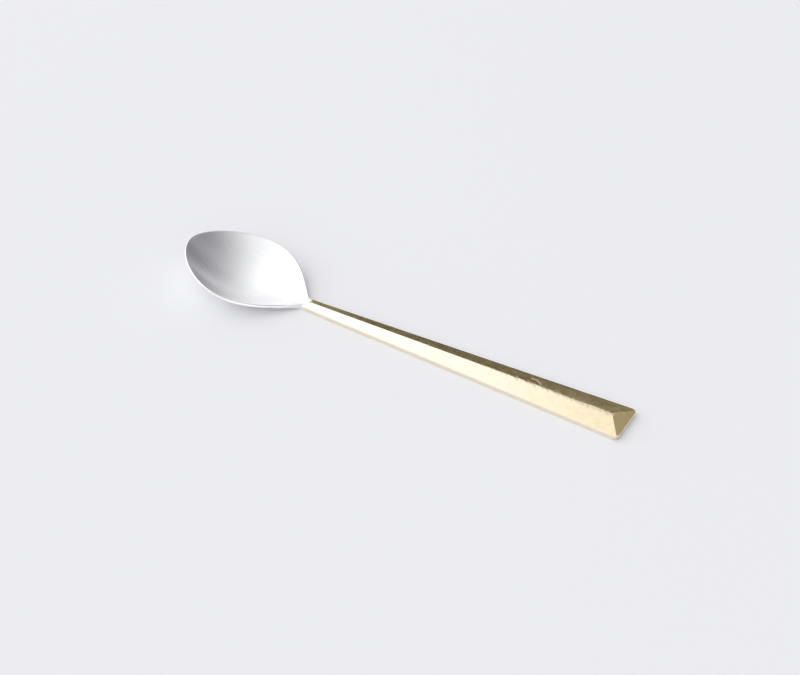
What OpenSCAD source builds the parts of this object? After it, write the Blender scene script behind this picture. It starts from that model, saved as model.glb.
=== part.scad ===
// A dessert spoon: a shallow pressed bowl whose tang is soldered into the slotted nose of a
// solid brass handle. The tip of the bowl points to -X and the free end of the handle to +X.
// The spoon lies on Z = 0, on the flat underside of the handle and the low point of the bowl.

/* [Overall] */
// Length of the whole spoon, from the tip of the bowl to the free end of the handle
total_length = 165; // [150:1:185]

/* [Bowl] */
// Length of the bowl, from its tip to the joint
bowl_length = 48.6; // [44:0.2:54]
// Width of the bowl, measured between the upper edges of its rim
bowl_width = 36; // [32:0.2:40]
// Distance from the joint to the widest part of the bowl
widest_place = 24.2; // [21:0.2:28]
// Distance from the joint to the low point, where the bowl touches the table
low_place = 17; // [13:0.5:21]
// Height of the rim at the tip, above the table
tip_height = 11.7; // [8:0.1:14]
// Thickness of the metal of the bowl
sheet = 1.1; // [0.8:0.05:1.4]
// How far the shoulders run on straight at the neck before they spread
neck_reach = 0.8; // [0.4:0.1:2]
// Angle between each shoulder and the centre line, at the neck
shoulder_angle = 43; // [35:1:55]
// Distance from the joint over which the thick neck thins out to the sheet
neck_blend = 9; // [5:0.5:14]
// Crown of the rim's rounded edge
rim_crown = 0.18; // [0.05:0.01:0.3]

/* [Handle] */
// Width of the handle at the joint
neck_width = 5.2; // [4.6:0.1:6.4]
// Width of the handle at its free end
end_width = 14.8; // [12:0.2:18]
// Height of the upright sides of the handle
side_height = 1.5; // [1.4:0.05:2]
// Rise of the ridge above the sides, measured at the free end
ridge_rise = 2.1; // [1.2:0.1:3]
// Length of the slanted facet that closes the free end
end_slant = 4.9; // [3:0.1:7]
// Length of the small facet that brings the ridge down to the bowl
nose_slant = 5.5; // [3:0.1:8]
// Radius of the corners of the free end, seen from above
corner_radius = 1.2; // [0.4:0.1:2]

/* [Joint] */
// Length of the tang inside the handle
tang_length = 11; // [7:0.5:16]
// Width of the tang
tang_width = 3; // [2:0.1:3.6]
// Thickness of the tang
tang_thickness = 0.7; // [0.5:0.05:0.8]
// Thickness of the solder between the tang and its slot
solder_gap = 0.1; // [0.05:0.01:0.15]
// Width of the solder line between the bowl and the handle
seam_width = 0.2; // [0.1:0.05:0.4]

/* [Hidden] */

// Places along X
tip_x = -total_length / 2;
end_x = total_length / 2;
joint_x = tip_x + bowl_length;
nose_x = joint_x + seam_width;
handle_length = end_x - nose_x;

// Overrun of every cutting shape
overrun = 1;

// Outline of the rim, as shares of the stretch that each curve spans
shoulder_pull_share = 0.16;
widest_pull_share = 0.46;
front_pull_share = 0.5;
tip_pull_share = 0.41;
// Bow of the rim's upper edge, seen from the side
rim_bow_share = 0.09;
// Share of the last curve that is left off, so that the tip isn't a single point
tip_cut_share = 0.01;
// Power of the keel from the low point to the tip: 2 is a parabola, more is flatter at the low point
keel_power = 2.1;
// How far the tang reaches into the thick neck of the bowl
tang_bite = 0.8;
// Sections along the fillet and along each curve of the outline, and columns on each half
fillet_steps = 4;
curve_steps = 21;
half_columns = 9;

// Taper and slopes of the handle
taper_angle = atan((end_width - neck_width) / 2 / handle_length);
ridge_slope = ridge_rise / (end_width / 2);
facet_angle = atan(ridge_slope / cos(taper_angle));

$fn = 48;

// Half the width of the handle and the rise of its ridge, at a distance from the nose
function half_width(run) = neck_width / 2 + run * tan(taper_angle);
function rise(run) = ridge_slope * half_width(run);

// A point of a cubic curve and of a quadratic curve
function cubic(a, b, c, d, t) =
  pow(1 - t, 3) * a + 3 * pow(1 - t, 2) * t * b + 3 * (1 - t) * t * t * c + pow(t, 3) * d;
function quadratic(a, b, c, t) = pow(1 - t, 2) * a + 2 * (1 - t) * t * b + t * t * c;

// Length of the inside: the tilted wall of the sheet takes up the rest at the tip
tip_wall_angle = atan(keel_power * (tip_height - sheet) / (bowl_length - low_place));
inner_length = bowl_length - sheet * sin(tip_wall_angle);

// Corner points of the half outline: distance from the joint, distance from the centre line
joint_corner = [0, neck_width / 2];
neck_corner = [neck_reach, neck_width / 2];
shoulder_way = [cos(shoulder_angle), sin(shoulder_angle)];
shoulder_start = neck_corner + neck_reach * shoulder_way;
widest = [widest_place, bowl_width / 2];
tip = [inner_length, 0];
shoulder_pull = shoulder_pull_share * widest_place * shoulder_way;
widest_pull = [widest_pull_share * widest_place, 0];
front_pull = [front_pull_share * (inner_length - widest_place), 0];
tip_pull = [0, tip_pull_share * bowl_width / 2];

// Half outline from the joint to the tip
outline = concat(
  [for (i = [0 : fillet_steps - 1])
    quadratic(joint_corner, neck_corner, shoulder_start, i / fillet_steps)],
  [for (i = [0 : curve_steps - 1])
    cubic(shoulder_start, shoulder_start + shoulder_pull, widest - widest_pull, widest,
      i / curve_steps)],
  [for (i = [0 : curve_steps])
    cubic(widest, widest + front_pull, tip + tip_pull, tip,
      (1 - tip_cut_share) * i / curve_steps)]
);
section_count = len(outline);

// Height of the rim's upper edge at a distance from the joint
function rim_height(run) =
  let (s = run / inner_length)
  side_height + (tip_height - side_height) * ((1 + rim_bow_share) * s - rim_bow_share * s * s);

// How much of the plain sheet there is at a distance from the joint, from 0 to 1
function sheet_part(run) =
  let (s = min(run / neck_blend, 1))
  s * s * (3 - 2 * s);

function thickness(run) = side_height + (sheet - side_height) * sheet_part(run);

// Height of the inside along the centre line
function keel_height(run) =
  run < low_place
  ? thickness(run)
  : sheet + (tip_height - sheet) * pow((run - low_place) / (inner_length - low_place), keel_power);

// Across the bowl the inside is a parabola: its height above the keel is curl times y squared
keel = [for (p = outline) keel_height(p.x)];
curl = [for (i = [0 : section_count - 1])
  (rim_height(outline[i].x) - keel[i]) / pow(outline[i].y, 2)];

// Change of a list per unit of distance from the joint, at one section
function slope_of(list, i) =
  let (before = max(i - 1, 0), after = min(i + 1, section_count - 1))
  (list[after] - list[before]) / (outline[after].x - outline[before].x);
keel_slope = [for (i = [0 : section_count - 1]) slope_of(keel, i)];
curl_slope = [for (i = [0 : section_count - 1]) slope_of(curl, i)];

// A point of the inside: distance from the joint, distance from the centre line, height
function inside(i, y) = [outline[i].x, y, keel[i] + curl[i] * y * y];

// Slope of the inside along and across the bowl, levelled out towards the joint
function slopes(i, y) =
  sheet_part(outline[i].x) * [keel_slope[i] + curl_slope[i] * y * y, 2 * curl[i] * y];

// The underside lies one thickness below, square to the inside
function underside(i, y) =
  let (lean = slopes(i, y), down = thickness(outline[i].x) / norm([lean.x, lean.y, 1]))
  inside(i, y) + down * [lean.x, lean.y, -1];

// The crown of the rim stands out half way between both edges
function crown(i, y) =
  let (
    way = [outline[i].x - low_place, y] / norm([outline[i].x - low_place, y]),
    lift = slopes(i, y) * way
  )
  (inside(i, y) + underside(i, y)) / 2
    + rim_crown * sheet_part(outline[i].x) * [way.x, way.y, lift] / norm([1, lift]);

// One section: across the inside, round the crown, back along the underside, round the crown
columns = 2 * half_columns + 1;
ring_count = 2 * columns + 2;
function ring(i) =
  let (w = outline[i].y)
  concat(
    [for (c = [-half_columns : half_columns]) inside(i, w * c / half_columns)],
    [crown(i, w)],
    [for (c = [half_columns : -1 : -half_columns]) underside(i, w * c / half_columns)],
    [crown(i, -w)]
  );

bowl_points = [for (i = [0 : section_count - 1]) each
  [for (p = ring(i)) [joint_x - p.x, p.y, p.z]]];

function ring_point(i, k) = i * ring_count + k % ring_count;

// Triangles that close one section: fans round both crowns, and strips between them
function fan(i, hub, others) = [for (k = [0 : len(others) - 2])
  [ring_point(i, hub), ring_point(i, others[k]), ring_point(i, others[k + 1])]];
function cap(i) = concat(
  fan(i, columns, [columns + 1, columns + 2, columns - 2, columns - 1]),
  [for (k = [1 : columns - 3]) each [
    [ring_point(i, k), ring_point(i, k + 1), ring_point(i, 2 * columns - k)],
    [ring_point(i, k + 1), ring_point(i, 2 * columns - k - 1), ring_point(i, 2 * columns - k)]
  ]],
  fan(i, 2 * columns + 1, [0, 1, 2 * columns - 1, 2 * columns])
);

bowl_faces = concat(
  cap(0),
  [for (i = [0 : section_count - 2]) each [for (k = [0 : ring_count - 1]) each [
    [ring_point(i, k), ring_point(i + 1, k), ring_point(i, k + 1)],
    [ring_point(i, k + 1), ring_point(i + 1, k), ring_point(i + 1, k + 1)]
  ]]],
  [for (t = cap(section_count - 1)) [t[0], t[2], t[1]]]
);

// A block centred across the handle, half way up its sides, between two places along X
module mid_block(from_x, to_x, width, height) {
  translate([from_x, -width / 2, (side_height - height) / 2])
    cube([to_x - from_x, width, height]);
}

module tang(start_x) {
  mid_block(start_x, nose_x + tang_length, tang_width, tang_thickness);
}

module tang_slot(start_x) {
  mid_block(start_x, nose_x + tang_length + solder_gap, tang_width + 2 * solder_gap,
    tang_thickness + 2 * solder_gap);
}

module bowl() {
  color("gainsboro") {
    polyhedron(points = bowl_points, faces = bowl_faces, convexity = 4);
    tang(joint_x - tang_bite);
  }
}

// Plan of the handle, with worn round corners at the free end
module handle_plan() {
  corner_x = end_x - corner_radius;
  corner_y = half_width(corner_x - nose_x) - corner_radius / cos(taper_angle);
  side_x = corner_x - corner_radius * sin(taper_angle);
  side_y = corner_y + corner_radius * cos(taper_angle);
  polygon([
    [nose_x, -neck_width / 2],
    [side_x, -side_y],
    [end_x, -corner_y],
    [end_x, corner_y],
    [side_x, side_y],
    [nose_x, neck_width / 2]
  ]);
  for (side = [-1, 1]) {
    translate([corner_x, side * corner_y])
      circle(r = corner_radius);
  }
}

// A block whose lower face is a cutting plane through the origin
module cutter() {
  translate([-total_length, -total_length, 0])
    cube([2 * total_length, 2 * total_length, total_length]);
}

module handle() {
  slant_rise = rise(handle_length - end_slant);
  nose_rise = rise(nose_slant);
  color("darkkhaki")
    difference() {
      linear_extrude(height = side_height + ridge_rise + overrun)
        handle_plan();
      for (side = [0, 1]) {
        mirror([0, side, 0])
          translate([nose_x, neck_width / 2, side_height])
            rotate([0, 0, taper_angle])
              rotate([-facet_angle, 0, 0])
                cutter();
      }
      translate([end_x, 0, side_height])
        rotate([0, atan(slant_rise / end_slant), 0])
          cutter();
      translate([nose_x, 0, side_height])
        rotate([0, -atan(nose_rise / nose_slant), 0])
          cutter();
      tang_slot(nose_x - overrun);
    }
}

module solder_seam() {
  color("peru")
    difference() {
      union() {
        mid_block(joint_x, nose_x, neck_width, side_height);
        tang_slot(joint_x);
      }
      tang(joint_x - overrun);
    }
}

bowl();
handle();
solder_seam();
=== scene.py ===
"""A dessert spoon on a pale table: brushed steel bowl, satin brass handle, soft studio light."""

import math
from bisect import bisect_right

import bmesh
import bpy
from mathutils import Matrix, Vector, noise


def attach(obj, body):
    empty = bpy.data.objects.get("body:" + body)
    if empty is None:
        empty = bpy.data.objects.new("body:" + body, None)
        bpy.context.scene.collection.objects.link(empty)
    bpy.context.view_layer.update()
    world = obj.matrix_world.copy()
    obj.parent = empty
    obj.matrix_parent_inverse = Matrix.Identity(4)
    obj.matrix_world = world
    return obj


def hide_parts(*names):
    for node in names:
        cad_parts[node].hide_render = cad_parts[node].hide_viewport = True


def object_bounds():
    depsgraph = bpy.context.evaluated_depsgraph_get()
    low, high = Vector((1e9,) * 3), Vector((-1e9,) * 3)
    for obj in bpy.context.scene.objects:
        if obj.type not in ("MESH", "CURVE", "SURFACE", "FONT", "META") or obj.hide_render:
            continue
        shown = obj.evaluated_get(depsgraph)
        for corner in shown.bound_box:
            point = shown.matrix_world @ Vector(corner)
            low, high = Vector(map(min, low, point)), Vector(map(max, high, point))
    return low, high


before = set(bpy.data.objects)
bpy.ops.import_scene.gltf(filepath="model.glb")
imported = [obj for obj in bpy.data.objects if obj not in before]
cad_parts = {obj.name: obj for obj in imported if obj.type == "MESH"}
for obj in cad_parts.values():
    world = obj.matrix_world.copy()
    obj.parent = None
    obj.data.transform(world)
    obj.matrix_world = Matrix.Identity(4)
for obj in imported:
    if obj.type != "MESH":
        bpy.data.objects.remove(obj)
cad_low, cad_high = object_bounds()

MM = 0.001

# Camera, from the edges of the spoon in the photograph; angles in degrees, azimuth 0 is +X
IMAGE_WIDTH_PX = 800
FOCAL_PX = 1200
SENSOR_MM = 36.0
CAMERA_AZIMUTH = -57.78
CAMERA_ELEVATION = 36.74
CAMERA_DISTANCE = 389.2 * MM
CAMERA_TARGET = Vector((2.23 * MM, 1.87 * MM, 0.0))
NEAR_CLIP = 0.01
FAR_CLIP = 20.0


def direction(azimuth_deg, elevation_deg):
    """Unit vector to a place in the sky; azimuth 0 is +X and 90 is +Y."""
    azimuth = math.radians(azimuth_deg)
    elevation = math.radians(elevation_deg)
    return Vector((
        math.cos(azimuth) * math.cos(elevation),
        math.sin(azimuth) * math.cos(elevation),
        math.sin(elevation),
    ))


def add_camera():
    data = bpy.data.cameras.new("camera")
    data.sensor_width = SENSOR_MM
    data.sensor_fit = "HORIZONTAL"
    data.lens = SENSOR_MM * FOCAL_PX / IMAGE_WIDTH_PX
    data.clip_start = NEAR_CLIP
    data.clip_end = FAR_CLIP
    camera = bpy.data.objects.new("camera", data)
    bpy.context.scene.collection.objects.link(camera)
    back = direction(CAMERA_AZIMUTH, CAMERA_ELEVATION)
    camera.location = CAMERA_TARGET + CAMERA_DISTANCE * back
    camera.rotation_euler = back.to_track_quat("Z", "Y").to_euler()
    bpy.context.scene.camera = camera


# Depth of every bump in the materials
BUMP_DEPTH = 0.03 * MM


class Nodes:
    """Short calls that add and link the nodes of one material or world."""

    def __init__(self, owner):
        owner.use_nodes = True
        self.tree = owner.node_tree
        self.tree.nodes.clear()

    def feed(self, socket, value):
        """Link a socket to another one, or set it to a plain value."""
        if isinstance(value, bpy.types.NodeSocket):
            self.tree.links.new(value, socket)
        else:
            socket.default_value = value

    def add(self, kind, inputs=None, **settings):
        node = self.tree.nodes.new(kind)
        for name, value in settings.items():
            setattr(node, name, value)
        for name, value in (inputs or {}).items():
            self.feed(node.inputs[name], value)
        return node

    def math(self, operation, a, b=0.0):
        return self.add("ShaderNodeMath", {0: a, 1: b}, operation=operation).outputs[0]

    def times(self, a, b):
        return self.math("MULTIPLY", a, b)

    def total(self, first, *others):
        for other in others:
            first = self.math("ADD", first, other)
        return first

    def blend(self, a, b, share_of_a):
        return self.total(self.times(a, share_of_a), self.times(b, 1.0 - share_of_a))

    def smooth(self, value, low, high, to_low=0.0, to_high=1.0):
        """Goes smoothly from to_low to to_high while the value goes from low to high."""
        node = self.add(
            "ShaderNodeMapRange",
            {"Value": value, "From Min": low, "From Max": high, "To Min": to_low, "To Max": to_high},
            interpolation_type="SMOOTHSTEP",
        )
        return node.outputs["Result"]

    def mix_colour(self, factor, a, b):
        node = self.add("ShaderNodeMix", data_type="RGBA")
        self.feed(node.inputs[0], factor)
        for socket, colour in ((node.inputs[6], a), (node.inputs[7], b)):
            self.feed(socket, (*colour, 1.0) if isinstance(colour, tuple) else colour)
        return node.outputs[2]

    def place(self):
        return self.add("ShaderNodeTexCoord").outputs["Object"]

    def noise(self, vector, scale=1.0, detail=3.0, roughness=0.5):
        inputs = {"Vector": vector, "Scale": scale, "Detail": detail, "Roughness": roughness}
        return self.add("ShaderNodeTexNoise", inputs).outputs["Fac"]

    def stretched(self, angle_deg, stretch):
        """Object place turned about Z and drawn out along one direction, for brushing lines."""
        turn = (0.0, 0.0, math.radians(angle_deg))
        turned = self.add("ShaderNodeMapping", {"Vector": self.place(), "Rotation": turn}).outputs[0]
        return self.add("ShaderNodeMapping", {"Vector": turned, "Scale": stretch}).outputs[0]

    def bump(self, height, strength, **settings):
        inputs = {"Height": height, "Strength": strength, "Distance": BUMP_DEPTH}
        return self.add("ShaderNodeBump", inputs, **settings)

    def metal(self, colour, roughness, bump):
        """End the material in a bare metal."""
        shader = self.add("ShaderNodeBsdfPrincipled", {
            "Base Color": colour, "Metallic": 1.0, "Roughness": roughness, "Normal": bump.outputs[0]})
        self.add("ShaderNodeOutputMaterial", {"Surface": shader.outputs[0]})


# Studio: bright on the left, grey on the right, white in front and dark low down behind
SIDE_WAY = direction(33, 0)
SIDE_FROM = -0.2
SIDE_TO = 0.53
LEFT_WALL = (1.03, 1.035, 1.045)
RIGHT_WALL = (0.205, 0.203, 0.228)
FRONT = (1.0, 1.0, 1.0)
# Places along Y between which the front goes over into the walls
FRONT_FULL = -0.45
FRONT_END = -0.1
HORIZON = (0.05, 0.05, 0.05)
# Heights between which the dark horizon fades in and then out again
HORIZON_FOOT = 0.02
HORIZON_START = 0.05
HORIZON_FULL = 0.13
HORIZON_END = 0.2
# Direction of the dark horizon and the cosines between which it fades
HORIZON_WAY = direction(112, 5)
HORIZON_EDGE = 0.976
HORIZON_CORE = 0.995
# Soft lamps: direction, sharpness and colour
LAMPS = (
    (direction(165, 35), 8.0, (0.54, 0.54, 0.55)),
    (direction(205, 12), 10.0, (1.07, 1.07, 1.07)),
    (direction(20, 15), 10.0, (0.25, 0.25, 0.25)),
    (direction(300, 30), 8.0, (0.3, 0.3, 0.3)),
    (direction(102, 12), 60.0, (0.16, 0.15, 0.16)),
    (direction(76, 50), 20.0, (0.12, 0.12, 0.12)),
)


def light_world():
    world = bpy.data.worlds.new("studio")
    bpy.context.scene.world = world
    n = Nodes(world)
    sky = n.add("ShaderNodeTexCoord").outputs["Generated"]

    def towards(place):
        node = n.add("ShaderNodeVectorMath", {0: sky, 1: tuple(place)}, operation="DOT_PRODUCT")
        return node.outputs["Value"]

    y, z = n.add("ShaderNodeSeparateXYZ", {0: sky}).outputs[1:]
    light = n.mix_colour(n.smooth(towards(SIDE_WAY), SIDE_FROM, SIDE_TO), LEFT_WALL, RIGHT_WALL)
    light = n.mix_colour(n.smooth(y, FRONT_FULL, FRONT_END, 1.0, 0.0), light, FRONT)
    above = n.smooth(z, HORIZON_FOOT, HORIZON_START)
    below = n.smooth(z, HORIZON_FULL, HORIZON_END, 1.0, 0.0)
    behind = n.smooth(towards(HORIZON_WAY), HORIZON_EDGE, HORIZON_CORE)
    light = n.mix_colour(n.times(n.times(below, above), behind), light, HORIZON)
    for place, sharpness, colour in LAMPS:
        fall = n.times(n.math("SUBTRACT", towards(place), 1.0), sharpness)
        glow = {0: colour, "Scale": n.math("EXPONENT", fall)}
        lamp = n.add("ShaderNodeVectorMath", glow, operation="SCALE").outputs[0]
        light = n.add("ShaderNodeVectorMath", {0: light, 1: lamp}, operation="ADD").outputs[0]
    background = n.add("ShaderNodeBackground", {"Color": light, "Strength": 1.0})
    n.add("ShaderNodeOutputWorld", {"Surface": background.outputs[0]})


FLOOR_COLOUR = (0.925, 0.927, 0.948)
FLOOR_ROUGHNESS = 0.7
FLOOR_SPECULAR = 0.2
FLOOR_SIZE = 30.0


def floor_material():
    material = bpy.data.materials.new("table_top")
    n = Nodes(material)
    shader = n.add("ShaderNodeBsdfPrincipled", {
        "Base Color": (*FLOOR_COLOUR, 1.0), "Roughness": FLOOR_ROUGHNESS,
        "Specular IOR Level": FLOOR_SPECULAR})
    n.add("ShaderNodeOutputMaterial", {"Surface": shader.outputs[0]})
    return material


def add_floor():
    mesh = bpy.data.meshes.new("table_top")
    half = FLOOR_SIZE / 2
    corners = [(-half, -half, 0), (half, -half, 0), (half, half, 0), (-half, half, 0)]
    mesh.from_pydata(corners, [], [(0, 1, 2, 3)])
    floor = bpy.data.objects.new("table_top", mesh)
    bpy.context.scene.collection.objects.link(floor)
    floor.location.z = cad_low.z
    mesh.materials.append(floor_material())


# Sizes of the spoon in millimetres, the same as in the part's source
JOINT_X = -33.9
NOSE_X = -33.7
END_X = 82.5
BOWL_LENGTH = 48.6
BOWL_WIDTH = 36.0
WIDEST_PLACE = 24.2
LOW_PLACE = 17.0
TIP_HEIGHT = 11.7
SHEET = 1.1
NECK_REACH = 0.8
SHOULDER_ANGLE = math.radians(43)
NECK_BLEND = 9.0
NECK_WIDTH = 5.2
END_WIDTH = 14.8
SIDE_HEIGHT = 1.5
RIDGE_RISE = 2.1
END_SLANT = 4.9

# Shares and powers that shape the bowl, the same as in the part's source
SHOULDER_PULL = 0.16
WIDEST_PULL = 0.46
FRONT_PULL = 0.5
TIP_PULL = 0.41
RIM_BOW = 0.09
KEEL_POWER = 2.1
INNER_LENGTH = BOWL_LENGTH - SHEET * math.sin(math.atan(
    KEEL_POWER * (TIP_HEIGHT - SHEET) / (BOWL_LENGTH - LOW_PLACE)))

# Reach of the lip's rounded edge, and the share of its thickness that it loses towards the tip
LIP_REACH = 0.36
LIP_THIN = 0.5
# Distances from the joint between which the lip thins, and the power that keeps this near the lip
LIP_FULL_TO = 12.0
LIP_THIN_FROM = 30.0
LIP_THIN_POWER = 3

# Fineness of the bowl's surface
FILLET_STEPS = 6
FLANK_STEPS = 46
FRONT_STEPS = 60
RADIAL_STEPS = 34
JOINT_STEPS = 6
LIP_STEPS = 6
LEAST_STEP = 1e-4
SLOPE_STEP = 0.05


def share_between(value, low, high):
    """How far a value has gone from low to high, from 0 to 1."""
    return min(max((value - low) / (high - low), 0.0), 1.0)


def eased(share):
    return share * share * (3 - 2 * share)


def bezier(points, t):
    """Point at t on a curve of any degree."""
    while len(points) > 1:
        points = [a.lerp(b, t) for a, b in zip(points, points[1:])]
    return points[0]


def half_outline():
    """One side of the bowl's rim, from the joint to the tip, as run along the bowl and half width."""
    corner = Vector((NECK_REACH, NECK_WIDTH / 2))
    way = Vector((math.cos(SHOULDER_ANGLE), math.sin(SHOULDER_ANGLE)))
    shoulder = corner + NECK_REACH * way
    widest = Vector((WIDEST_PLACE, BOWL_WIDTH / 2))
    tip = Vector((INNER_LENGTH, 0.0))
    fillet = (Vector((0.0, NECK_WIDTH / 2)), corner, shoulder)
    flank = (shoulder, shoulder + SHOULDER_PULL * WIDEST_PLACE * way,
             widest - Vector((WIDEST_PULL * WIDEST_PLACE, 0.0)), widest)
    front = (widest, widest + Vector((FRONT_PULL * (INNER_LENGTH - WIDEST_PLACE), 0.0)),
             tip + Vector((0.0, TIP_PULL * BOWL_WIDTH / 2)), tip)
    points = []
    for curve, steps in ((fillet, FILLET_STEPS), (flank, FLANK_STEPS), (front, FRONT_STEPS)):
        points += [bezier(curve, step / steps) for step in range(steps)]
    return points + [tip]


def across_neck():
    """Places between both corners of the joint, shared by the bowl and the handle."""
    return [NECK_WIDTH * (step / JOINT_STEPS - 0.5) for step in range(1, JOINT_STEPS)]


def sheet_part(run):
    """How much of the plain sheet there is at a distance from the joint, from 0 to 1."""
    return eased(share_between(run, 0.0, NECK_BLEND))


def thickness(run):
    return SIDE_HEIGHT + (SHEET - SIDE_HEIGHT) * sheet_part(run)


def lip_thinning(run):
    return LIP_THIN * eased(share_between(run, LIP_FULL_TO, LIP_THIN_FROM))


def rim_height(run):
    share = run / INNER_LENGTH
    return SIDE_HEIGHT + (TIP_HEIGHT - SIDE_HEIGHT) * ((1 + RIM_BOW) * share - RIM_BOW * share * share)


def keel_height(run):
    if run < LOW_PLACE:
        return thickness(run)
    share = (run - LOW_PLACE) / (INNER_LENGTH - LOW_PLACE)
    return SHEET + (TIP_HEIGHT - SHEET) * share ** KEEL_POWER


class BowlShape:
    """Inside surface of the bowl over its plan: parabolas across, their sharpness read off the rim."""

    def __init__(self):
        self.runs, self.curls = [], []
        # The last two points lie too near the centre line to read a parabola off them
        for point in half_outline()[:-2]:
            if self.runs and point.x - self.runs[-1] < LEAST_STEP:
                continue
            self.runs.append(point.x)
            self.curls.append((rim_height(point.x) - keel_height(point.x)) / point.y ** 2)

    def curl(self, run):
        runs, curls = self.runs, self.curls
        if run <= runs[0]:
            return curls[0]
        if run >= runs[-1]:
            slope = (curls[-1] - curls[-3]) / (runs[-1] - runs[-3])
            return curls[-1] + slope * (run - runs[-1])
        high = bisect_right(runs, run)
        low = high - 1
        share = (run - runs[low]) / (runs[high] - runs[low])
        return curls[low] + share * (curls[high] - curls[low])

    def height(self, run, across):
        return keel_height(run) + self.curl(run) * across * across

    def surface(self, run, across):
        """Inside point and the unit direction through the sheet at it."""
        along_change = self.height(run + SLOPE_STEP, across) - self.height(run - SLOPE_STEP, across)
        across_change = self.height(run, across + SLOPE_STEP) - self.height(run, across - SLOPE_STEP)
        per_unit = sheet_part(run) / (2 * SLOPE_STEP)
        down = Vector((per_unit * along_change, per_unit * across_change, -1.0)).normalized()
        return Vector((run, across, self.height(run, across))), down


def bowl_row(shape, spot):
    """Points from the low point out over the inside, round the lip at one spot and back underneath."""
    hub = Vector((LOW_PLACE, 0.0))
    way = (spot - hub).normalized()
    reach = LIP_REACH * sheet_part(spot.x)
    thinning = lip_thinning(spot.x)
    edge, down = shape.surface(spot.x, spot.y)
    half_thick = thickness(spot.x) * (1 - thinning) / 2
    lift = (way.x * down.x + way.y * down.y) / -down.z
    out = Vector((way.x, way.y, lift)).normalized()
    centre = edge + half_thick * down - reach * out
    inset = spot - reach * way
    inside, underside = [], []
    for step in range(RADIAL_STEPS + 1):
        share = step / RADIAL_STEPS
        point, through = shape.surface(*hub.lerp(inset, share))
        inside.append(point)
        thin = 1 - thinning * share ** LIP_THIN_POWER
        underside.append(point + thickness(point.x) * thin * through)
    lip = []
    for step in range(1, LIP_STEPS):
        angle = math.pi * (0.5 - step / LIP_STEPS)
        lip.append(centre + reach * math.cos(angle) * out - half_thick * math.sin(angle) * down)
    row = inside + lip + underside[::-1]
    return [(JOINT_X - point.x, point.y, max(point.z, 0.0)) for point in row]


def bowl_rows():
    shape = BowlShape()
    half = half_outline()
    other_half = [Vector((point.x, -point.y)) for point in reversed(half[:-1])]
    joint = [Vector((0.0, y)) for y in across_neck()]
    return [bowl_row(shape, spot) for spot in half + other_half + joint]


# Distance within which points are one, and the angle above which an edge is sharp
WELD = 1e-6
SHARP_ANGLE = math.radians(50)


def closed_band(rows):
    """Points and faces of a surface through rows of equal length, the last joined to the first."""
    points = [point for row in rows for point in row]
    length = len(rows[0])
    faces = []
    for start in range(0, len(points), length):
        following = (start + length) % len(points)
        for place in range(length - 1):
            faces.append((start + place, start + place + 1, following + place + 1, following + place))
    return points, faces


def new_piece(name, rows, material, replaces):
    """Closed piece through rows of points in millimetres, in the place of one CAD node."""
    points, faces = closed_band(rows)
    mesh = bpy.data.meshes.new(name)
    mesh.from_pydata([tuple(c * MM for c in point) for point in points], [], faces)
    work = bmesh.new()
    work.from_mesh(mesh)
    bmesh.ops.remove_doubles(work, verts=work.verts, dist=WELD)
    bmesh.ops.dissolve_degenerate(work, edges=work.edges, dist=WELD)
    bmesh.ops.recalc_face_normals(work, faces=work.faces)
    for face in work.faces:
        face.smooth = True
    work.to_mesh(mesh)
    work.free()
    mesh.set_sharp_from_angle(angle=SHARP_ANGLE)
    mesh.materials.append(material)
    piece = bpy.data.objects.new(name, mesh)
    bpy.context.scene.collection.objects.link(piece)
    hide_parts(replaces)
    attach(piece, "root")
    return piece


# Handle: a tapering bar with two long facets, a slant at the nose and one at the end.
# The slant at the nose is shorter and the corners are rounder than in the part's source
FACET_SLOPE = RIDGE_RISE / (END_WIDTH / 2)
NOSE_SLANT = 2.4
CORNER_RADIUS = 1.8
# Rounding of the sides' upper edge and foot, and the stretch behind the nose over which it grows
WALL_ROUND = 0.4
FOOT_ROUND = 0.35
ROUND_BLEND = 2.5
# Softness of the edges of both slants, of the fresh ridge and of the worn ridge
ARRIS_SOFT = 0.09
RIDGE_SOFT = 0.1
RIDGE_WORN = 0.8
# How far wear has moved the ridge towards the near side at the free end
RIDGE_LEAN = 0.42
# Slight waves in the facets, with a seed for each facet
WAVE_HEIGHT = 0.02
WAVE_SIZE = 6.0
FAR_SEED = 3.7
NEAR_SEED = 11.2
END_SEED = 23.5
# Small knocks along the ridge, stronger from NICK_TO on, with finer ones among them
NICK_FROM = 30.0
NICK_TO = 52.0
NICK_LEAST = 0.12
NICK_HEIGHT = 0.25
NICK_SIZE = 1.15
NICK_REACH = 0.75
NICK_SEED = 41.3
FINE_NICK_SHARE = 0.5
FINE_NICK_RATE = 2.3
FINE_NICK_SEED = 8.1
# One hooked dent beside the ridge
DENT_PATH = (Vector((49.3, 3.0)), Vector((51.0, 2.9)), Vector((52.4, 1.9)), Vector((53.6, 0.6)))
DENT_DEPTH = 0.05
DENT_REACH = 0.28

# Fineness of the handle's surface, with shares of the way from the centre line to the edge
SIDE_STEP = 0.3
END_STEP = 0.3
CORNER_STEPS = 14
ARC_STEPS = 5
EDGE_STEP = 0.4
FACET_ROWS = (0.0, 0.01, 0.02, 0.032, 0.045, 0.06, 0.078, 0.1, 0.125, 0.155, 0.19, 0.225, 0.26, 0.3,
              0.34, 0.38, 0.42, 0.46, 0.5, 0.55, 0.6, 0.65, 0.7, 0.75, 0.8, 0.845, 0.885, 0.92, 0.95,
              0.975, 1.0)
UNDER_ROWS = (0.75, 0.5, 0.25, 0.0)


def half_width(x):
    """Half the handle's width, which grows evenly from the joint to the free end."""
    return NECK_WIDTH / 2 + (x - NOSE_X) * (END_WIDTH - NECK_WIDTH) / 2 / (END_X - NOSE_X)


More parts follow.
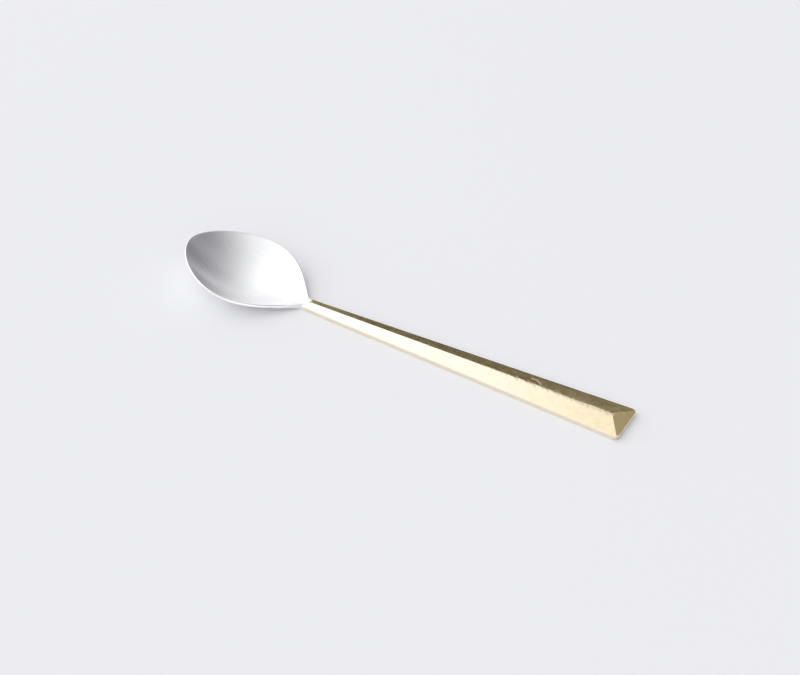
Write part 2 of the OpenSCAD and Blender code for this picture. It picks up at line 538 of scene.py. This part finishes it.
def soft_min(a, b, width):
    """The lower of two heights, with the edge between them rounded off."""
    share = max(width - abs(a - b), 0.0) / width
    return min(a, b) - share * share * width / 4


def wave(x, y, seed):
    return WAVE_HEIGHT * noise.noise(Vector((x / WAVE_SIZE, y / WAVE_SIZE, seed)))


def rubbed(x):
    """Share of wear on the ridge, which grows towards the free end."""
    return share_between(x, NICK_FROM, END_X - END_SLANT)


def ridge_place(x):
    return -RIDGE_LEAN * rubbed(x)


def knock(x, y):
    """How far knocks tip the facets beside the ridge, which moves the ridge to and fro."""
    worn = share_between(x, NICK_FROM, NICK_TO)
    strength = NICK_HEIGHT * (NICK_LEAST + (1 - NICK_LEAST) * worn)
    place = x / NICK_SIZE
    coarse = noise.noise(Vector((place, 0.0, NICK_SEED)))
    fine = noise.noise(Vector((place * FINE_NICK_RATE, 0.0, FINE_NICK_SEED)))
    beside = (y - ridge_place(x)) / NICK_REACH
    return strength * (coarse + FINE_NICK_SHARE * fine) * math.exp(-beside ** 2)


def off_path(x, y, path):
    """Distance from a place to the nearest point of a path."""
    spot = Vector((x, y))
    nearest = math.inf
    for a, b in zip(path, path[1:]):
        share = share_between((spot - a).dot(b - a), 0.0, (b - a).length_squared)
        nearest = min(nearest, (spot - a.lerp(b, share)).length)
    return nearest


def dent(x, y):
    return DENT_DEPTH * math.exp(-(off_path(x, y, DENT_PATH) / DENT_REACH) ** 2)


def top_height(x, y):
    """Height of the handle's upper side: the lowest of its two long facets and two slants."""
    reach = half_width(x)
    rise = FACET_SLOPE * reach
    crest = ridge_place(x)
    tip = knock(x, y)
    far_facet = SIDE_HEIGHT + rise * (reach - y) / (reach - crest) + wave(x, y, FAR_SEED)
    far_facet += tip - dent(x, y)
    near_facet = SIDE_HEIGHT + rise * (reach + y) / (reach + crest) + wave(x, y, NEAR_SEED)
    near_facet -= tip
    nose_slope = FACET_SLOPE * half_width(NOSE_X + NOSE_SLANT) / NOSE_SLANT
    nose = SIDE_HEIGHT + (x - NOSE_X) * nose_slope
    end_slope = FACET_SLOPE * half_width(END_X - END_SLANT) / END_SLANT
    end = SIDE_HEIGHT + (END_X - x) * end_slope + wave(x, y, END_SEED)
    ridge_soft = RIDGE_SOFT + (RIDGE_WORN - RIDGE_SOFT) * rubbed(x)
    facets = soft_min(far_facet, near_facet, ridge_soft)
    return soft_min(facets, soft_min(nose, end, ARRIS_SOFT), ARRIS_SOFT)


def handle_outline():
    """Plan points around the handle with the outward direction at each."""
    side = []
    side_way = Vector((END_X - NOSE_X, half_width(END_X) - half_width(NOSE_X))).normalized()
    normal = Vector((-side_way.y, side_way.x))
    turn = math.acos(normal.x)
    # The circle of the rounded corner touches the side and the end
    centre_x = END_X - CORNER_RADIUS
    centre_y = half_width(centre_x) - CORNER_RADIUS / normal.y
    centre = Vector((centre_x, centre_y))
    touch = centre + CORNER_RADIUS * normal
    steps = round((touch.x - NOSE_X) / SIDE_STEP)
    for step in range(steps):
        x = NOSE_X + (touch.x - NOSE_X) * step / steps
        side.append((Vector((x, half_width(x))), normal))
    for step in range(CORNER_STEPS):
        angle = turn * (1 - step / CORNER_STEPS)
        way = Vector((math.cos(angle), math.sin(angle)))
        side.append((centre + CORNER_RADIUS * way, way))
    steps = round(centre_y / END_STEP)
    for step in range(steps):
        side.append((Vector((END_X, centre_y * (1 - step / steps))), Vector((1.0, 0.0))))
    middle = [(Vector((END_X, 0.0)), Vector((1.0, 0.0)))]
    other_side = [(Vector((p.x, -p.y)), Vector((out.x, -out.y))) for p, out in reversed(side)]
    joint = [(Vector((NOSE_X, y)), Vector((-1.0, 0.0))) for y in across_neck()]
    return side + middle + other_side + joint


def handle_row(edge, out):
    """Points from the centre line over a facet, round the side's edges and back underneath."""
    spine = Vector((min(max(edge.x, NOSE_X + NOSE_SLANT), END_X - END_SLANT), 0.0))
    soften = share_between(edge.x, NOSE_X, NOSE_X + ROUND_BLEND) ** 2
    top_round = WALL_ROUND * soften
    foot_round = FOOT_ROUND * soften
    edge_height = top_height(edge.x, edge.y)
    slope = (top_height(*(edge - EDGE_STEP * out)) - edge_height) / EDGE_STEP
    tilt = math.atan(slope)
    inset = edge - top_round * (1 - math.sin(tilt)) * out
    row = []
    for share in FACET_ROWS:
        point = spine.lerp(inset, share)
        row.append((*point, top_height(*point)))
    hub = edge - top_round * out
    hub_z = edge_height + top_round * (slope - math.sqrt(1 + slope * slope))
    for step in range(1, ARC_STEPS + 1):
        angle = (math.pi / 2 - tilt) * (1 - step / ARC_STEPS)
        point = hub + top_round * math.cos(angle) * out
        row.append((*point, hub_z + top_round * math.sin(angle)))
    foot = edge - foot_round * out
    for step in range(ARC_STEPS):
        angle = -math.pi / 2 * step / (ARC_STEPS - 1)
        point = foot + foot_round * math.cos(angle) * out
        row.append((*point, foot_round * (1 + math.sin(angle))))
    return row + [(*spine.lerp(foot, share), 0.0) for share in UNDER_ROWS]


def handle_rows():
    return [handle_row(edge, out) for edge, out in handle_outline()]


# Ranges that most of a noise pattern lies in
NOISE_RANGE = (0.35, 0.65)
WIDE_NOISE_RANGE = (0.3, 0.7)

# Steel bowl, brushed aslant across its length, with a few longer scratches
STEEL = (0.93, 0.93, 0.935)
STEEL_SHADE = (0.905, 0.905, 0.915)
STEEL_SHADE_RANGE = (0.4, 0.64)
# Roughness, and what the brushing lines, the clouds and the scratches take off it or add to it
STEEL_ROUGHNESS = 0.22
BRUSH_ROUGHNESS = (-0.015, 0.02)
CLOUD_ROUGHNESS = (-0.02, 0.03)
SCRATCH_ROUGHNESS = 0.2
# Brushing in fine and coarse lines, as noise per metre along and across them
BRUSH_ANGLE = 11
COARSE_BRUSH_ANGLE = 13
FINE_BRUSH = (150.0, 4200.0, 0.0)
COARSE_BRUSH = (60.0, 1300.0, 0.0)
FINE_BRUSH_SHARE = 0.75
BRUSH_BUMP = 0.014
CLOUD = (60.0, 160.0, 90.0)
CLOUD_DETAIL = 2.0
# Scratches in millimetres: two ends on the plan of the bowl
SCRATCHES = (
    ((-75.2, -4.2), (-67.9, -5.3)),
    ((-70.3, 3.2), (-65.1, 2.0)),
    ((-67.6, 3.9), (-63.5, 2.9)),
    ((-74.9, 7.3), (-68.1, 6.0)),
    ((-73.4, -6.6), (-70.2, -7.1)),
    ((-70.8, -1.0), (-67.3, -1.6)),
)
SCRATCH_WIDTH = 0.13
SCRATCH_BUMP = 0.42
# Distances from a scratch's middle between which it fades, as shares of its length
SCRATCH_FULL = 0.3
SCRATCH_END = 0.5


def scratch_lines(n):
    """One on the scratches and nought beside them."""
    x, y = n.add("ShaderNodeSeparateXYZ", {0: n.place()}).outputs[:2]
    lines = 0.0
    for (ax, ay), (bx, by) in SCRATCHES:
        run = Vector((bx - ax, by - ay))
        length = run.length * MM
        way = run.normalized()
        dx = n.math("SUBTRACT", x, ax * MM)
        dy = n.math("SUBTRACT", y, ay * MM)
        forward = n.total(n.times(dx, way.x), n.times(dy, way.y))
        aside = n.total(n.times(dx, -way.y), n.times(dy, way.x))
        near = n.smooth(n.math("ABSOLUTE", aside), 0.0, SCRATCH_WIDTH * MM, 1.0, 0.0)
        past_middle = n.math("ABSOLUTE", n.math("SUBTRACT", forward, length / 2))
        within = n.smooth(past_middle, SCRATCH_FULL * length, SCRATCH_END * length, 1.0, 0.0)
        lines = n.math("MAXIMUM", n.times(near, within), lines)
    return lines


def steel_material():
    material = bpy.data.materials.new("bowl_steel")
    n = Nodes(material)
    fine = n.noise(n.stretched(BRUSH_ANGLE, FINE_BRUSH))
    coarse = n.noise(n.stretched(COARSE_BRUSH_ANGLE, COARSE_BRUSH))
    cloud = n.noise(n.stretched(BRUSH_ANGLE, CLOUD), detail=CLOUD_DETAIL)
    brush = n.blend(fine, coarse, FINE_BRUSH_SHARE)
    scratches = scratch_lines(n)
    colour = n.mix_colour(n.smooth(brush, *STEEL_SHADE_RANGE), STEEL, STEEL_SHADE)
    roughness = n.total(
        n.smooth(brush, *NOISE_RANGE, *BRUSH_ROUGHNESS),
        n.smooth(cloud, *WIDE_NOISE_RANGE, *CLOUD_ROUGHNESS),
        n.times(scratches, SCRATCH_ROUGHNESS),
        STEEL_ROUGHNESS,
    )
    bump = n.bump(scratches, SCRATCH_BUMP, invert=True)
    n.feed(bump.inputs["Normal"], n.bump(brush, BRUSH_BUMP).outputs[0])
    n.metal(colour, roughness, bump)
    return material


# Brass handle: satin, a little tarnished, paler where it is rubbed, silvery next to the bowl; the near
# facet is painted paler as a painted highlight and the far facet darker as painted shade
BRASS = (0.91, 0.74, 0.38)
BRASS_DULL_AND_SHADE = (0.38, 0.295, 0.115)
BRASS_WORN_AND_LIT = (0.91, 0.86, 0.79)
# Place in millimetres where the brass shows fully; it is silvery at the nose
BRASS_START = -31.8
# Attributes on the handle's vertices: wear together with painted light (a painted highlight on the
# near facet, painted shade on the far facet), and the filed slant at the free end
WEAR_AND_PAINTED_LIGHT = "wear_and_painted_light"
FILED = "filed"
# Blotches, specks and grain along the handle, as noise per metre
BLOTCH_RATE = 420.0
SPECK_RATE = 2100.0
GRAIN = (110.0, 2600.0, 2600.0)
# Number of ever finer patterns in the blotches, and the strength of each in blotches and specks
BLOTCH_DETAIL = 4.0
PATCHY = 0.6
# Dullness: where blotches and specks bring it on, and how much of it is left on rubbed metal and under
# the painted highlight
BLOTCH_DULL_RANGE = (0.42, 0.68)
MOST_DULL = 0.5
SPECK_DULL_RANGE = (0.3, 0.6)
LEAST_SPECK_DULL = 0.4
WEAR_AND_LIGHT_TURN = 0.1
DULL_ON_WORN_AND_LIT = 0.4
# Bright flecks, where less of the tarnish and of the painted shade is left
FLECK_RANGE = (0.58, 0.68)
FLECK_TARNISH_AND_SHADE = 0.35
# Roughness, and what the surface, the blotches and the filing take off it or add to it
BRASS_ROUGHNESS = 0.12
GRAIN_SHARE = 0.4
SURFACE_ROUGHNESS = (-0.04, 0.07)
BLOTCH_ROUGHNESS = (-0.02, 0.04)
FILED_ROUGHNESS = 0.36
BRASS_BUMP = 0.38


def brass_material():
    material = bpy.data.materials.new("handle_brass")
    n = Nodes(material)
    place = n.place()
    blotch = n.noise(place, BLOTCH_RATE, BLOTCH_DETAIL, PATCHY)
    speck = n.noise(place, SPECK_RATE, roughness=PATCHY)
    grain = n.noise(n.stretched(0, GRAIN))
    wear_and_painted_light = n.add("ShaderNodeAttribute", attribute_name=WEAR_AND_PAINTED_LIGHT).outputs["Fac"]
    filed = n.add("ShaderNodeAttribute", attribute_name=FILED).outputs["Fac"]
    dull = n.times(
        n.smooth(blotch, *BLOTCH_DULL_RANGE, 0.0, MOST_DULL),
        n.smooth(speck, *SPECK_DULL_RANGE, LEAST_SPECK_DULL, 1.0),
    )
    dull = n.times(dull, n.smooth(wear_and_painted_light, -WEAR_AND_LIGHT_TURN, WEAR_AND_LIGHT_TURN, 1.0, DULL_ON_WORN_AND_LIT))
    # Tarnish from blotches and specks, with the far facet's painted shade added where the attribute is
    # below nought
    tarnish_and_shade = n.total(dull, n.math("MAXIMUM", n.times(wear_and_painted_light, -1.0), 0.0))
    tarnish_and_shade = n.times(tarnish_and_shade, n.smooth(speck, *FLECK_RANGE, 1.0, FLECK_TARNISH_AND_SHADE))
    colour = n.mix_colour(tarnish_and_shade, BRASS, BRASS_DULL_AND_SHADE)
    # Paler metal: wear, the painted highlight on the near facet and the painted reflection on the low
    # sides
    colour = n.mix_colour(n.math("MAXIMUM", wear_and_painted_light, 0.0), colour, BRASS_WORN_AND_LIT)
    x = n.add("ShaderNodeSeparateXYZ", {0: place}).outputs[0]
    colour = n.mix_colour(n.smooth(x, NOSE_X * MM, BRASS_START * MM, 1.0, 0.0), colour, STEEL)
    surface = n.blend(grain, speck, GRAIN_SHARE)
    roughness = n.total(
        n.smooth(surface, *NOISE_RANGE, *SURFACE_ROUGHNESS),
        n.smooth(blotch, *NOISE_RANGE, *BLOTCH_ROUGHNESS),
        n.times(filed, FILED_ROUGHNESS),
        BRASS_ROUGHNESS,
    )
    n.metal(colour, roughness, n.bump(surface, BRASS_BUMP))
    return material


# Line of solder between the bowl and the handle
SOLDER = (0.89, 0.88, 0.86)
SOLDER_SHADE = (0.86, 0.82, 0.76)
SOLDER_SHADE_RANGE = (0.4, 0.65)
SOLDER_RATE = 1800.0
SOLDER_ROUGHNESS = (0.28, 0.42)
SOLDER_BUMP = 0.3


def solder_material():
    material = bpy.data.materials.new("solder")
    n = Nodes(material)
    grain = n.noise(n.place(), SOLDER_RATE)
    colour = n.mix_colour(n.smooth(grain, *SOLDER_SHADE_RANGE), SOLDER, SOLDER_SHADE)
    roughness = n.smooth(grain, *WIDE_NOISE_RANGE, *SOLDER_ROUGHNESS)
    n.metal(colour, roughness, n.bump(grain, SOLDER_BUMP))
    return material


# Share of pale metal on the near facet at the neck and at the free end, which is a painted highlight,
# and on the low sides, which is wear and also a painted reflection of the table
NECK_PAINTED_HIGHLIGHT = 1.0
END_PAINTED_HIGHLIGHT = 0.32
PAINTED_HIGHLIGHT_POWER = 1.5
SIDE_WEAR_AND_SHEEN = 0.7
# Share of dark tarnish colour on the far facet, which is painted shade
FAR_PAINTED_SHADE = 0.8
# Distance from a side within which a place counts as on it
EDGE_BAND = 0.12
# Bare metal on the knocked ridge, in the dent and on the corners of the free end; on the corners it is
# also a painted highlight
RIDGE_BARE = 0.7
RIDGE_BARE_REACH = 0.3
FULL_KNOCK = 0.06
DENT_BARE = 0.9
CORNER_WEAR_AND_HIGHLIGHT_REACH = 1.5


def on_end_facet(x, y):
    """True right of the line from the ridge's end to the corner."""
    return (x - (END_X - END_SLANT)) / END_SLANT > abs(y) / half_width(END_X)


def handle_wear_and_painted_light(x, y, z):
    """Share of pale metal at a place of the handle: wear, a painted highlight on the near facet and a
    painted reflection on the low sides; below nought it is painted shade on the far facet.
    """
    share = ridge = 0.0
    # Low sides: wear, and a painted reflection of the table
    if z < SIDE_HEIGHT + EDGE_BAND and (half_width(x) - abs(y) < EDGE_BAND or END_X - x < EDGE_BAND):
        share = SIDE_WEAR_AND_SHEEN
    elif not on_end_facet(x, y):
        crest = ridge_place(x)
        # Far facet: painted shade, as dark tarnish colour
        share = -FAR_PAINTED_SHADE
        # Near facet: pale metal that is a painted highlight, palest at the neck
        if y < crest + RIDGE_WORN * rubbed(x) / 2:
            along = max(x - NOSE_X, 0.0) / (END_X - NOSE_X)
            share = NECK_PAINTED_HIGHLIGHT + (END_PAINTED_HIGHLIGHT - NECK_PAINTED_HIGHLIGHT) * along ** PAINTED_HIGHLIGHT_POWER
        beside = (y - crest) / RIDGE_BARE_REACH
        ridge = math.exp(-beside ** 2) * min(abs(knock(x, crest)) / FULL_KNOCK, 1.0)
    corner = Vector((x - END_X, abs(y) - half_width(END_X))).length
    bare_and_lit = max(
        RIDGE_BARE * ridge,
        DENT_BARE * dent(x, y) / DENT_DEPTH,
        # Corners of the free end: wear, and a painted highlight
        1 - corner / CORNER_WEAR_AND_HIGHLIGHT_REACH,
        0.0,
    )
    return share + (1 - share) * bare_and_lit


def end_filing(x, y, z):
    """One on the slant at the free end, which is filed, and nought elsewhere."""
    return float(z > SIDE_HEIGHT and on_end_facet(x, y))


def paint(mesh, name, value_at):
    """Store a value of the place, which is in millimetres, at each vertex."""
    layer = mesh.attributes.new(name, "FLOAT", "POINT")
    for vertex, value in zip(mesh.vertices, layer.data):
        value.value = value_at(*(c / MM for c in vertex.co))


add_camera()
light_world()
add_floor()
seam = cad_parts["solder_seam"]
seam.data.materials.clear()
seam.data.materials.append(solder_material())
new_piece("bowl_shell", bowl_rows(), steel_material(), "bowl")
bar = new_piece("handle_bar", handle_rows(), brass_material(), "handle")
# Wear, painted highlight and painted shade are stored in one attribute
paint(bar.data, WEAR_AND_PAINTED_LIGHT, handle_wear_and_painted_light)
paint(bar.data, FILED, end_filing)

bpy.context.scene.view_settings.view_transform = "Standard"
